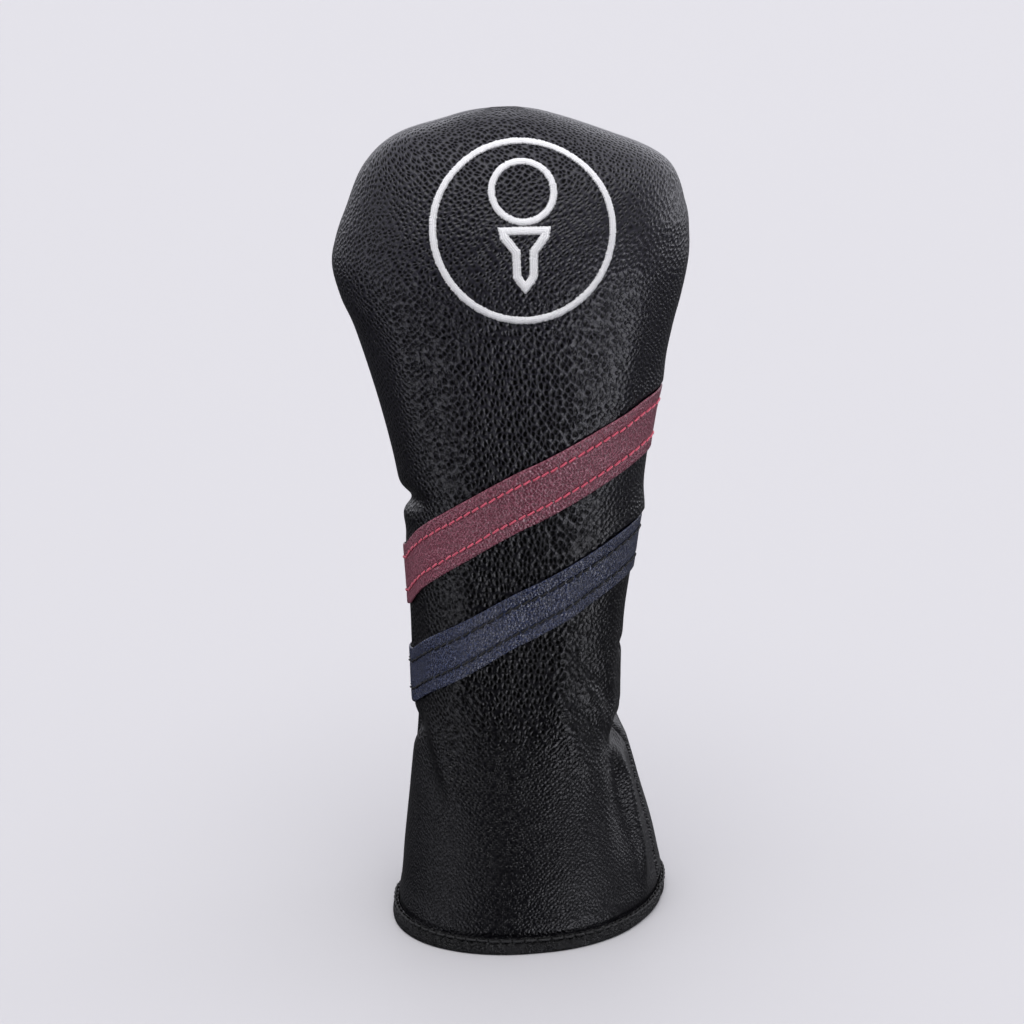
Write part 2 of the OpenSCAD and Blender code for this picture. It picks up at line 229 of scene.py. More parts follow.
EMBLEM_TILT = math.radians(20)
EMBLEM_X = (RING_LOW.x + RING_HIGH.x) / 2
EMBLEM_Y = -33.0
EMBLEM_Z = 285.0
RING_R = 34.5
SATIN_W = 2.0
RING_MIDDLE = RING_R - SATIN_W / 2


def drawing_place(u, turn):
    """Where a point of the form lies in the emblem's drawing: across and up."""
    p = skin(u, turn)
    c, s = math.cos(EMBLEM_TILT), math.sin(EMBLEM_TILT)
    return p[..., 0] - EMBLEM_X, (p[..., 1] - EMBLEM_Y) * s + (p[..., 2] - EMBLEM_Z) * c


# ---- folds

# Soft dents and ridges: turn, height, lean from upright, length, width, and how far in (-) or out (+)
FOLDS = [
    # the head: a shallow valley down the left, and soft undulations on the right
    (234, 222, 4, 64, 6, -1.2),
    (216, 222, 8, 64, 7, 0.8),
    (300, 250, 2, 80, 6, -0.5),
    (312, 245, 2, 80, 6, 0.5),
    (324, 240, 2, 70, 6, -0.5),
    # the left edge above the red stripe
    (182, 173.5, 82, 46, 4.0, -4.1),
    (182, 160, 80, 36, 5, -0.6),
    # the neck: two ridges down the front with a hollow between
    (240, 142, 4, 70, 7, 0.9),
    (234, 106, 25, 40, 5, 1.1),
    (288, 116, 5, 60, 5.5, 1.1),
    (293.5, 81, -23, 36, 5, 1.2),
    (264, 112, 0, 120, 11, -0.8),
    # the left pinch above the skirt
    (184, 79, 70, 22, 5, -2.8),
    (211, 70, -38, 34, 5.5, -1.3),
    (223, 71, -33, 36, 5.5, 1.5),
    # the right pinches, and the fold that runs from the lower one to the hem
    (352, 112, 74, 16, 3, -1.6),
    (354, 78, 76, 42, 4.8, -4.6),
    (330, 73, 40, 26, 4, -1.2),
    (318, 60, 8, 54, 5.0, -1.2),
    (329, 44, 3, 56, 4.4, 3.0),
    (341, 42, 4, 44, 5.5, -0.5),
    # slanted creases on the right of the neck
    (318, 100, -38, 30, 4, -1.0),
    (311, 93, -34, 26, 3.5, 0.7),
    (304, 108, -30, 22, 3, -0.5),
]
FOLD_ARC = 0.75  # rough distance round the cover for each degree
PLEATS, PLEAT_REACH, PLEAT_LEAN = 11, 0.9, 0.02
GATHER_Z, GATHER_SPREAD = 100, 34
# Dents across the crown: distance to the right, width and reach
CROWN_DENTS = [(-34, 10, -0.5), (28, 12, -0.6), (-6, 16, 0.4)]
# How far the leather bulges over each stripe on the right
OVERHANGS = [(RED, 1.3), (NAVY, 2.2)]
EMBROIDERY_DENT = 0.35


def bell(value, width):
    """1 at nought, fading on both sides over a width."""
    return np.exp(-((value / width) ** 2))


def arc_offset(turn, centre):
    """Signed distance round the cover from a turn, near enough for a fold."""
    return ((turn - centre + 180) % 360 - 180) * FOLD_ARC


def soft_folds(z, turn):
    """The dents and ridges in FOLDS."""
    out = np.zeros(np.broadcast(z, turn).shape)
    for centre, height, lean, length, width, reach in FOLDS:
        across, up = arc_offset(turn, centre), z - height
        c, s = math.cos(math.radians(lean)), math.sin(math.radians(lean))
        along, aside = up * c + across * s, across * c - up * s
        out = out + reach * np.exp(-((aside / width) ** 2) - (along / (length / 2)) ** 4)
    return out


def pleats(z, turn):
    """Small pleats where the elastic gathers the neck, except down the middle of the front."""
    gathered = bell(z - GATHER_Z, GATHER_SPREAD) * smooth(0, 24, np.abs(arc_offset(turn, 270)) - 42)
    return PLEAT_REACH * gathered * np.cos(np.radians(turn) * PLEATS + PLEAT_LEAN * z)


def overhangs(z, turn):
    """The leather's bulge over each stripe on the right."""
    out = 0
    for strip, reach in OVERHANGS:
        above = z - stripe_line(strip, turn, 1)
        out = out + reach * (smooth(300, 345, turn) * smooth(0, 1.5, above) * bell(above, 9))
    return out


def folds(u, turn):
    """How far the leather stands out from the plain form."""
    z = station(u)[..., 0]
    out = soft_folds(z, turn) + pleats(z, turn)
    x = skin(u, turn)[..., 0]
    for centre, width, reach in CROWN_DENTS:
        out = out + reach * bell(x - centre, width) * smooth(296, 312, z)
    out = out + overhangs(z, turn)
    hem = 0.3 * bell(z - BINDING_TOP - 5, 4) - 0.7 * bell(z - BINDING_TOP, 1.2)
    ring = np.abs(np.hypot(*drawing_place(u, turn)) - RING_MIDDLE)
    return out + hem - EMBROIDERY_DENT * bell(ring, 3) * (np.sin(np.radians(turn)) < 0)


def seam_roll(u, turn):
    """How far the leather rolls in at the seams, which hardly shows over the crown or in the binding."""
    d = seam_distance(u, turn)
    z = station(u)[..., 0]
    shown = (1 - 0.85 * smooth(282, 306, z)) * (0.2 + 0.8 * smooth(4, 13, z))
    return -shown * (1.7 * bell(d, 1.3) + 0.5 * bell(d, 6))


def surface(u, turn, lift=0.0):
    """Points of the folded leather's face, raised by lift."""
    reach = folds(u, turn) + seam_roll(u, turn) + lift
    return skin(u, turn) + outward(u, turn) * np.asarray(reach)[..., None]


def inside(u, turn, depth):
    """Points of a layer inside the leather, which gives way wherever the leather goes in."""
    give = np.minimum(folds(u, turn) + seam_roll(u, turn), 0)
    return skin(u, turn) + outward(u, turn) * np.asarray(give - depth)[..., None]


# ---- mesh helpers

def new_object(name, points, faces):
    """A smooth-shaded object from points in design millimetres."""
    mesh = bpy.data.meshes.new(name)
    mesh.from_pydata((np.asarray(points) * UNIT).tolist(), [], faces)
    mesh.validate()
    mesh.polygons.foreach_set("use_smooth", [True] * len(mesh.polygons))
    made = bpy.data.objects.new(name, mesh)
    bpy.context.scene.collection.objects.link(made)
    return made


def grid_quads(rows, cols, base=0, wrap_rows=False, wrap_cols=False):
    """Quads of a grid of points, counter-clockwise where columns run right and rows run up."""
    i = np.arange(rows if wrap_rows else rows - 1)[:, None]
    j = np.arange(cols if wrap_cols else cols - 1)
    i2, j2 = (i + 1) % rows, (j + 1) % cols
    corners = [i * cols + j, i * cols + j2, i2 * cols + j2, i2 * cols + j]
    return (np.stack(np.broadcast_arrays(*corners), -1).reshape(-1, 4) + base).tolist()


def slab_object(name, outer, inner):
    """A closed sheet between an outer and an inner grid of points."""
    rows, cols = outer.shape[:2]
    count = rows * cols
    border = np.concatenate([
        np.arange(cols),
        np.arange(1, rows) * cols + cols - 1,
        (rows - 1) * cols + np.arange(cols - 2, -1, -1),
        np.arange(rows - 2, 0, -1) * cols,
    ])
    after = np.roll(border, -1)
    walls = np.stack([border, border + count, after + count, after], -1).tolist()
    back = [quad[::-1] for quad in grid_quads(rows, cols, count)]
    points = np.concatenate([outer.reshape(-1, 3), inner.reshape(-1, 3)])
    return new_object(name, points, grid_quads(rows, cols) + back + walls)


def end_caps(rows, cols):
    """The two end faces of an open tube."""
    return [list(range(cols))[::-1], [(rows - 1) * cols + j for j in range(cols)]]


def swept_object(name, loops, closed):
    """A tube through loops of points. An open one gets end caps."""
    rows, cols = loops.shape[:2]
    faces = grid_quads(rows, cols, wrap_rows=closed, wrap_cols=True)
    if not closed:
        faces += end_caps(rows, cols)
    return new_object(name, loops.reshape(-1, 3), faces)


def store(obj, name, values):
    """Stores a number or a place at each point, for the materials."""
    is_place = np.size(values) > len(obj.data.vertices)
    kind, field = ("FLOAT_VECTOR", "vector") if is_place else ("FLOAT", "value")
    stored = obj.data.attributes.new(name, kind, "POINT")
    stored.data.foreach_set(field, np.asarray(values, np.float32).ravel())


def even_levels(z_low, z_high, count):
    """Station numbers evenly spaced along the front's middle line."""
    u = np.linspace(level(z_low), level(z_high), 4000)
    length = distance_along(skin(u, np.full_like(u, 270.0)))
    return np.interp(np.linspace(0, length[-1], count), length, u)


CLOSER_AT_SEAMS = 0.6  # how much closer together a panel's columns are at its seams


def panel_grid(side, levels, cols, inset):
    """Station numbers and turns of a grid from seam to seam, across the front (-1) or the back (1)."""
    seam = (180 if side < 0 else 0) - seam_shift(levels)[:, None]
    even = np.linspace(0, 1, cols)
    share = even - CLOSER_AT_SEAMS * np.sin(2 * math.pi * even) / (2 * math.pi)
    first, last = seam + inset, seam + 180 - inset
    return np.broadcast_to(levels[:, None], (len(levels), cols)), first + (last - first) * share


# ---- leather panels

PANEL_ROWS, FRONT_COLS, BACK_COLS = ((520, 340, 340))
SEAM_GAP = 0.12
HIDE_APART = 600.0  # how far apart the two panels lie in the grain's pattern
BACK_GRAIN = 0.55  # how deep the back's grain is
FINER_SKIRT = 0.4  # how much finer the grain is on the skirt


def coarse_grain(u, turn):
    """Where the grain is stretched large: down the middle of the front, from the emblem to the skirt."""
    z = station(u)[..., 0]
    return bell(arc_offset(turn, 266), 30) * smooth(50, 110, z) * (1 - smooth(225, 290, z))


def grain_depth(u, turn):
    """How deep the grain is: most down the middle, and least on the skirt and the right."""
    z = station(u)[..., 0]
    head_left = smooth(225, 265, z) * (1 - smooth(255, 300, turn))
    right = smooth(270, 315, turn)
    skirt = 1 - smooth(40, 95, z)
    crown = smooth(292, 314, z)
    shallow = 0.16 * right * (1 - crown) + 0.22 * skirt
    return np.clip(0.58 + 0.5 * coarse_grain(u, turn) + 0.1 * head_left + 0.4 * crown - shallow, 0.25, 1)


def hide_places(u, turn):
    """Distances across and along the hide, for a grain that follows it and is finer on the skirt."""
    p = skin(u, turn)
    across_step = np.linalg.norm(np.diff(p, axis=1), axis=2)
    finer = 1 + FINER_SKIRT * (1 - smooth(35, 110, station(u)[..., 0]))
    along_step = np.linalg.norm(np.diff(p, axis=0), axis=2) * finer[1:]
    across = np.pad(np.cumsum(across_step, axis=1), ((0, 0), (1, 0)))
    along = np.pad(np.cumsum(along_step, axis=0), ((1, 0), (0, 0)))
    across = (across - across[:, across.shape[1] // 2][:, None]) * finer
    return np.stack([across, along, np.zeros_like(along)], -1)


def leather_panel(name, side, cols):
    """One panel of leather, with its grain's size, depth and place stored at its points."""
    levels = even_levels(HEM_FLOOR, DESIGN_H, PANEL_ROWS)
    u, turn = panel_grid(side, levels, cols, SEAM_GAP)
    panel = slab_object(name, surface(u, turn), surface(u, turn, -LEATHER_T))
    front = side < 0
    coarse = coarse_grain(u, turn) * front
    deep = grain_depth(u, turn) if front else np.full(u.shape, BACK_GRAIN)
    deep = deep * (0.3 + 0.7 * smooth(0.3, 1.8, seam_distance(u, turn)))
    places = hide_places(u, turn) + (0, HIDE_APART * side, 0)
    for key, values in (("coarse", coarse), ("deep", deep), ("hide", places)):
        store(panel, key, np.concatenate([values, values]))
    return panel


front_leather = leather_panel("front_leather", -1, FRONT_COLS)
back_leather = leather_panel("back_leather", 1, BACK_COLS)


# ---- stripes

STRIPE_BEND_R = 40.0  # rough radius of the cover's front, for the grain's spacing along a stripe
STRIPES_APART = 300.0  # how far the stripes lie from the panels in the grain's pattern
STRIPE_RINGS, UNDER_POINTS = 340, 25
LEFT_SEAM, RIGHT_SEAM = 180 - SEAM_TURN, 360 - SEAM_TURN


def stripe_stand(turn, share):
    """How far a stripe's underside stands off the leather."""
    return STRIPE_LIFT + STRIPE_STANDS * smooth(285, 350, turn) * smooth(0.1, 1.0, share)


def stitch_share(strip):
    """Where the upper stitches run across a stripe, as a share of half its rise."""
    return 1 - 2 * STRIPE_MARGIN / strip.rise


def stripe_profile(strip):
    """Points over a stripe's face: share across, and thickness, which dips along the stitches."""
    rounded = np.array([0.965, 0.985, 0.995, 1])
    share = np.concatenate([-rounded[::-1], np.linspace(-0.93, 0.93, 45), rounded])
    edge = np.clip((1 - np.abs(share)) / 0.05, 0, 1)
    height = STRIPE_T * (0.45 + 0.55 * np.sqrt(1 - (1 - edge) ** 2))
    return share, height - STITCH_GROOVE * bell(np.abs(share) - stitch_share(strip), 0.07)


def stripe(name, strip):
    """A strip of leather from seam to seam. Its underside and its cut edges take a second material."""
    share, height = stripe_profile(strip)
    across = np.concatenate([share, np.linspace(1, -1, UNDER_POINTS)])
    thick = np.concatenate([height, np.zeros(UNDER_POINTS)])
    turn = np.linspace(LEFT_SEAM + 0.3, RIGHT_SEAM - 0.3, STRIPE_RINGS)[:, None]
    z = stripe_line(strip, turn, across)
    stand = stripe_stand(turn, across)
    points = surface(level(z), np.broadcast_to(turn, z.shape), stand + thick)
    made = swept_object(name, points[:, ::-1], False)
    rings, sides = points.shape[:2]
    face_from, face_to = sides - len(share), sides - 1
    cut = [not face_from <= k < face_to for _ in range(rings - 1) for k in range(sides)]
    made.data.polygons.foreach_set("material_index", np.array(cut + [True, True], np.int32))
    along = np.broadcast_to(np.radians(turn) * STRIPE_BEND_R, z.shape)
    places = np.stack([along, z + STRIPES_APART, 0 * z], -1)
    store(made, "hide", places[:, ::-1])
    return made


red_stripe = stripe("red_stripe_leather", RED)
navy_stripe = stripe("navy_stripe_leather", NAVY)


# ---- threads

def full_turn(count):
    """Angles evenly spaced round a circle."""
    return np.linspace(0, 2 * math.pi, count, endpoint=False)


def tube_loops(points, normals, radius, sides):
    """Loops round many short lines at once: (line, point, side, xyz)."""
    tangent = unit(np.gradient(points, axis=-2))
    aside = unit(np.cross(tangent, normals))
    up = np.cross(aside, tangent)
    a = full_turn(sides)[:, None]
    ring = np.cos(a) * aside[..., None, :] + np.sin(a) * up[..., None, :]
    return points[..., None, :] + ring * radius


def threads_object(name, points, normals, radius, sides=8):
    """One object of many short threads: points and normals are (line, point, xyz)."""
    loops = tube_loops(points, normals, radius, sides)
    lines, rings = loops.shape[:2]
    faces = []
    one = grid_quads(rings, sides, wrap_cols=True) + end_caps(rings, sides)
    for k in range(lines):
        base = k * rings * sides
        faces.extend([[v + base for v in face] for face in one])
    made = new_object(name, loops.reshape(-1, 3), faces)
    along = np.broadcast_to(np.linspace(0, 1, rings)[None, :, None], (lines, rings, sides))
    around = np.broadcast_to(np.linspace(0, 1, sides, endpoint=False)[None, None, :], along.shape)
    store(made, "along", along)
    store(made, "around", around)
    return made


def sunk_profile(count):
    """A stitch's height along its length, as a share: flat, and down in its holes at both ends."""
    t = np.linspace(-1, 1, count)
    return 1 - np.abs(t) ** 5 * 1.75


RANDOM = np.random.default_rng(7)
STITCH_PITCH, STITCH_R, STITCH_SLANT = 3.8, 0.44, 0.024
STITCH_POINTS = 11


def stripe_stitches(name, strip, side, stitch_len):
    """The stitches along a stripe's upper (1) or lower (-1) edge."""
    share = side * stitch_share(strip)
    turn = np.linspace(LEFT_SEAM + 1.2, RIGHT_SEAM - 1.2, 1500)
    length = distance_along(surface(level(stripe_line(strip, turn, share)), turn))
    count = int((length[-1] - stitch_len) / STITCH_PITCH) + 1
    starts = np.arange(count) * STITCH_PITCH + RANDOM.uniform(-0.15, 0.15, count)
    where = starts[:, None] + stitch_len * np.linspace(0, 1, STITCH_POINTS)
    t = np.interp(where, length, turn)
    slant = RANDOM.normal(0, 0.006, (count, 1)) + STITCH_SLANT * np.linspace(-1, 1, STITCH_POINTS)
    u = level(stripe_line(strip, t, share + slant))
    arch = STITCH_R * 0.8 * sunk_profile(STITCH_POINTS)
    lift = stripe_stand(t, share) + STRIPE_T - STITCH_GROOVE + arch
    return threads_object(name, surface(u, t, lift), outward(u, t), STITCH_R)


red_upper = stripe_stitches("red_thread_upper", RED, 1, 3.1)
red_lower = stripe_stitches("red_thread_lower", RED, -1, 3.1)
navy_upper = stripe_stitches("navy_thread_upper", NAVY, 1, 2.6)
navy_lower = stripe_stitches("navy_thread_lower", NAVY, -1, 2.6)


# ---- embroidery

def face_y(x, z):
    """Depth of the plain front face at a place across and a height."""
    s = station(level(z))
    middle, half = middle_and_half(s)
    k = np.clip(np.abs((x - middle) / half), 0, 1)
    return -s[..., 3] * (1 - k**ROUNDNESS) ** (1 / ROUNDNESS)


def drawn(place):
    """Station numbers and turns of points of the emblem's drawing, laid on the leather."""
    x, b = EMBLEM_X + place[..., 0], place[..., 1]
    c, s = math.cos(EMBLEM_TILT), math.sin(EMBLEM_TILT)
    z = EMBLEM_Z + b * c
    for _ in range(30):
        gap = (EMBLEM_Y + b * s - face_y(x, z)) / c
        z = 0.5 * z + 0.5 * (EMBLEM_Z + b * c + gap * s)
    u = level(z)
    middle, half = middle_and_half(station(u))
    turn = 360 - np.degrees(np.arccos(np.clip(power((x - middle) / half, ROUNDNESS / 2), -1, 1)))
    return u, turn


def circle(radius, rise, count=400):
    """A circle in the emblem's drawing."""
    a = full_turn(count)
    return np.stack([radius * np.cos(a), rise + radius * np.sin(a)], -1)


def outline(half, foot):
    """A closed outline from its right-hand half, from the top down to its foot."""
    right = np.array(half + [(0, foot)])
    left = right[-2::-1] * [-1, 1]
    return np.concatenate([right, left])[::-1]


def closed_loop(loop):
    """An outline's corners with the first one again at the end."""
    return np.vstack([loop, loop[:1]])


def at(loop, where):
    """Points of a closed outline at corner numbers with fractions."""
    corners = closed_loop(loop)
    return np.stack([np.interp(where, np.arange(len(corners)), corners[:, k]) for k in (0, 1)], -1)


SATIN_HEIGHT, SATIN_PITCH, SATIN_R, SATIN_SINK = 0.62, 0.34, 0.23, 0.15
SATIN_RAGGED = 0.35  # how unevenly the threads end
SATIN_POINTS = 9
BALL_R, BALL_Z = 12.5, 13.5


def satin(name, outer, inner):
    """Satin stitching between two outlines: threads laid side by side across the line."""
    length = distance_along(closed_loop(outer))
    count = int(length[-1] / SATIN_PITCH)
    corners = len(outer)
    where = np.interp(np.arange(count) / count * length[-1], length, np.arange(corners + 1))
    slip = 0.5 * corners / count
    a, b = at(outer, where % corners), at(inner, (where + slip) % corners)
    reach = RANDOM.normal(0.5, 0.3, (count, 2)) * SATIN_RAGGED
    direction = unit(b - a)
    a = a - direction * reach[:, :1]
    b = b + direction * reach[:, 1:]
    place = a[:, None] + (b - a)[:, None] * np.linspace(0, 1, SATIN_POINTS)[None, :, None]
    u, turn = drawn(place)
    arch = 1 - np.abs(np.linspace(-1, 1, SATIN_POINTS)) ** 3
    lift = (SATIN_HEIGHT + RANDOM.normal(0, 0.035, (count, 1))) * arch - SATIN_SINK
    return threads_object(name, surface(u, turn, lift), outward(u, turn), SATIN_R, sides=6)


ring_thread = satin("emblem_ring_thread", circle(RING_R, 0), circle(RING_R - SATIN_W, 0))
ball_thread = satin("emblem_ball_thread", circle(BALL_R, BALL_Z), circle(BALL_R - SATIN_W, BALL_Z))
tee_thread = satin(
    "emblem_tee_thread",
    outline([(9.5, 0), (8.8, -4), (4.6, -9.5), (4.3, -18.5)], -24),
    outline([(6.4, -2.5), (6, -3.3), (2, -8.5), (1.8, -17.6)], -20.2),
)


# ---- mouth binding

BINDING_T = 1.2
BINDING_SLOT = 3.9  # room in the fold for the leather and the lining
BINDING_STITCH_Z, BINDING_STITCH_R = BINDING_TOP - 0.75, 0.5
STITCHES_ROUND = 88
RIM_COUNT = 1440
# The binding's ripples: waves round the rim, and depth
FINE_RIPPLES, FINE_DEPTH = [76, 95, 121, 150, 177, 190, 203], 0.42
BROAD_RIPPLES, BROAD_DEPTH = [5, 9, 14], 0.12
STITCH_PULL = 0.22


def rim_noise(turn, waves, seed):
    """A repeatable ripple round the rim, between about -1 and 1."""
    rng = np.random.default_rng(seed)
    total = np.zeros_like(turn)
    for wave in waves:
        start = rng.uniform(0, 2 * math.pi)
        total = total + np.cos(np.radians(turn) * wave + start) * rng.uniform(0.5, 1)
    return total / len(waves)


def binding_section():
    """Points round the folded strip's section: depth behind the leather's face, and height."""
    h, t, slot = BINDING_TOP, BINDING_T, BINDING_SLOT
    return np.array([
        (-0.05, h), (-0.3, h - 0.1), (-0.5, h - 0.4), (-0.5, h - 1.0), (-0.8, h - 1.7), (-1.05, h - 2.7),
        (-1.1, h - 3.9), (-1.0, 1.2), (-0.65, 0.45), (-0.1, 0.1), (0.7, 0), (1.9, 0), (slot, 0),
        (slot + 0.9, 0.1), (slot + 1.5, 0.6), (slot + 1.75, 1.5), (slot + 1.9, 3), (slot + 2.0, 4.4),
        (slot + 1.9, h - 0.9), (slot + 1.5, h - 0.2), (slot + 0.9, h - 0.2), (slot + 0.7, h - 1),
        (slot + 0.5, 3.4), (slot + 0.1, t), (slot / 2, t), (0.1, t), (-0.05, 2.4), (-0.08, 4.2),
    ])


def rim_frame(turn):
    """The leather's face at the floor, and how it leans in with height."""
    low, high = surface(level(0.0), turn), surface(level(8.0), turn)
    lean = (high - low)[..., :2] / 8.0
    return low, lean


def binding():
    """The folded strip round the mouth, crinkled on its outside and pulled in at its stitches."""
    turn = np.linspace(0, 360, RIM_COUNT, endpoint=False)
    low, lean = rim_frame(turn)
    out = outward(np.zeros_like(turn), turn)
    section = binding_section()
    loops = np.zeros((RIM_COUNT, len(section), 3))
    fine = FINE_DEPTH * rim_noise(turn, FINE_RIPPLES, 3)
    broad = BROAD_DEPTH * rim_noise(turn, BROAD_RIPPLES, 5)
    stitched = np.cos(np.radians(turn) * STITCHES_ROUND)
    for k, (depth, z) in enumerate(section):
        outside = 1 - smooth(-0.4, 0.0, depth)
        pulled = STITCH_PULL * stitched * smooth(3.2, 5.2, z)
        swell = outside * (fine * smooth(1.0, 4.5, z) + broad - pulled)
        loops[:, k, :2] = low[:, :2] + lean * z - out[:, :2] * (depth - swell)[:, None]
        loops[:, k, 2] = z - (0.2 + 0.2 * stitched) * outside * (z > BINDING_TOP - 1.2)
    return swept_object("mouth_binding_leather", loops[:, ::-1], True)


def binding_stitches():
    """The row of stitches along the binding's upper edge."""
    t = np.linspace(0, 1, STITCH_POINTS)
    turn = (np.arange(STITCHES_ROUND)[:, None] + 0.86 * t + 0.5) * (360 / STITCHES_ROUND)
    low, lean = rim_frame(turn)
    out = outward(np.zeros_like(turn), turn)
    z = BINDING_STITCH_Z + RANDOM.normal(0, 0.06, (STITCHES_ROUND, 1)) + 0 * turn
    stand = 0.85 + 0.4 * sunk_profile(STITCH_POINTS)
    points = np.zeros(turn.shape + (3,))
    points[..., :2] = low[..., :2] + lean * z[..., None] + out[..., :2] * stand[..., None]
    points[..., 2] = z
    return threads_object("mouth_binding_thread", points, out, BINDING_STITCH_R)


mouth_binding = binding()
binding_thread = binding_stitches()


# ---- what is inside

def lining_depth(z):
    """How far the lining lies behind the leather's face, with the elastic and the foam under it."""
    heights = [0, 10, 20, 65, 81, 162, 188, DESIGN_H]
    return np.interp(z, heights, [1.8, 1.8, 2.6, 2.6, 3.3, 3.3, 7.1, 7.1])


def fleece(u, turn, seed):
    """Short pile: small lumps in the lining's face."""
    p = skin(u, turn)
    rng = np.random.default_rng(seed)
    total = np.zeros(p.shape[:-1])
    for _ in range(24):
        wave = rng.normal(0, 1, 3)
        wave *= rng.uniform(0.9, 2.6) / np.linalg.norm(wave)
        total += np.cos(p @ wave + rng.uniform(0, 2 * math.pi))
    return 0.12 * total


def lining_panel(name, side, cols):
    """One panel of the fleece lining."""
    levels = even_levels(HEM_FLOOR, DESIGN_H, 240)
    u, turn = panel_grid(side, levels, cols, 0.3)
    z = station(u)[..., 0]
    depth = lining_depth(z)
    pile = fleece(u, turn, 11) * smooth(8, 16, z)  # none in the binding's fold
    return slab_object(name, inside(u, turn, depth), inside(u, turn, depth + LINING_T + pile))


front_fleece = lining_panel("front_fleece", -1, 150)
back_fleece = lining_panel("back_fleece", 1, 170)


FOAM_ROWS = 70
SKIVED = 5  # how many rows and columns of a pad's edges are thinned


def from_edge(count):
    """Steps from the nearer end, for each of a row of points."""
    return np.minimum(np.arange(count), np.arange(count)[::-1])


def foam_piece(name, side, cols):
    """A pad that fills the head between leather and lining, with edges skived thin."""
    levels = even_levels(FOAM_LOW, FOAM_HIGH, FOAM_ROWS)
    u, turn = panel_grid(side, levels, cols, 9.0)
    steps = np.minimum(from_edge(FOAM_ROWS)[:, None], from_edge(cols))
    full = np.sqrt(np.clip(steps / SKIVED, 0.04, 1))
    middle = LEATHER_T + 1.3 + FOAM_T / 2
    half = full * FOAM_T / 2
    return slab_object(name, inside(u, turn, middle - half), inside(u, turn, middle + half))


front_pad = foam_piece("front_foam_pad", -1, 80)
back_pad = foam_piece("back_foam_pad", 1, 90)


def elastic_band():
    """The woven elastic round the neck, in small gathers."""
    turn = np.linspace(0, 360, 720, endpoint=False)[:, None]
    z = np.linspace(ELASTIC_LOW, ELASTIC_HIGH, 24)
    gather = 0.16 * np.cos(np.radians(turn) * 90 + 0.1 * z)
    u = level(z) + 0 * turn
    depth = LEATHER_T + 0.6 - gather
    outer, inner = inside(u, turn, depth), inside(u, turn, depth + 0.8)
    return swept_object("neck_elastic_band", np.concatenate([outer, inner[:, ::-1]], 1), True)


def elastic_thread():
    """Two rows of stitches that hold the elastic, on the lining's inner face."""
    count = 44
    turn = (np.arange(count)[:, None] + 0.75 * np.linspace(0, 1, 9)) * 360 / count
    turn = np.tile(turn, (2, 1))
    z = np.repeat([ELASTIC_LOW + 4, ELASTIC_HIGH - 4], count)[:, None]
    u = level(z) + 0 * turn
    depth = 3.3 + LINING_T + 0.15 + 0.3 * sunk_profile(9)
    return threads_object("neck_elastic_thread", inside(u, turn, depth), -outward(u, turn), 0.3)


def panel_thread():
    """The stitches that join the two panels, behind the leather."""
    heights = np.arange(14, 312, 3.2)
    t = np.linspace(-1, 1, 7)
    u = level(np.tile(heights, 2))[:, None] + 0 * t
    side_turn = np.repeat([180, 0], len(heights))[:, None]
    turn = side_turn - seam_shift(u) + t * 1.6 / arc_of_degree(u, 0)
    depth = LEATHER_T + 2.1 + 0.2 * (1 - t**4) + 0 * u
    return threads_object("panel_seam_thread", inside(u, turn, depth), -outward(u, turn), 0.25, 6)


def backing_cloth():
    """A round of backing cloth behind the embroidery."""
    place = circle(np.linspace(0.02, 36, 60)[:, None], 0, 200)
    u, turn = drawn(place)
    crinkle = 0.04 * np.cos(place[..., 0] * 1.7 + np.cos(place[..., 1] * 1.3) * 2)
    front, back = inside(u, turn, 1.75 + crinkle), inside(u, turn, 2.1 + crinkle)
    return swept_object("emblem_backing_cloth", np.concatenate([front, back[::-1]]), False)


elastic = elastic_band()
elastic_stitches = elastic_thread()
seam_thread = panel_thread()
backing = backing_cloth()


# ---- material helpers

def put(tree, kind, inputs=None, **settings):
    """Adds a shader node, sets its options, and links or sets its inputs by name or number."""
    made = tree.nodes.new("ShaderNode" + kind)
    for key, value in settings.items():
        setattr(made, key, value)
    for key, value in (inputs or {}).items():
        socket = made.inputs[key]
        if isinstance(value, bpy.types.NodeSocket):
            tree.links.new(value, socket)
        else:
            socket.default_value = value
    return made


def calc(tree, operation, a, b=0.0):
    """Arithmetic on one or two numbers."""
    return put(tree, "Math", {0: a, 1: b}, operation=operation).outputs[0]


def plus(tree, a, b):
    """Two numbers added."""
    return calc(tree, "ADD", a, b)


def times(tree, a, b):
    """Two numbers multiplied."""
    return calc(tree, "MULTIPLY", a, b)


def vector_calc(tree, operation, a, b):
    """Arithmetic on two vectors."""
    return put(tree, "VectorMath", {0: a, 1: b}, operation=operation).outputs[0]


def ramp(tree, value, low, high, out_low=0.0, out_high=1.0):
    """out_low below low, out_high above high, and an S-curve between."""
    inputs = {"Value": value, "From Min": low, "From Max": high, "To Min": out_low, "To Max": out_high}
    return put(tree, "MapRange", inputs, interpolation_type="SMOOTHSTEP").outputs["Result"]


def mix(tree, share, a, b):
    """Two numbers mixed."""
    return put(tree, "Mix", {0: share, 2: a, 3: b}, data_type="FLOAT").outputs[0]


def mix_colour(tree, share, a, b):
    """Two colours mixed."""
    return put(tree, "Mix", {0: share, 6: a, 7: b}, data_type="RGBA").outputs[2]


def start_material(name):
    """A material, its tree, and the row frame's coordinates in design millimetres."""
    made = bpy.data.materials.new(name)
    made.use_nodes = True
    tree = made.node_tree
    tree.nodes.clear()
    place = put(tree, "TexCoord").outputs["Object"]
    return made, tree, vector_calc(tree, "MULTIPLY", place, (1 / UNIT,) * 3)


def shade(tree, inputs):
    """Gives a material its shader."""
    shader = put(tree, "BsdfPrincipled", inputs)
    put(tree, "OutputMaterial", {"Surface": shader.outputs[0]})


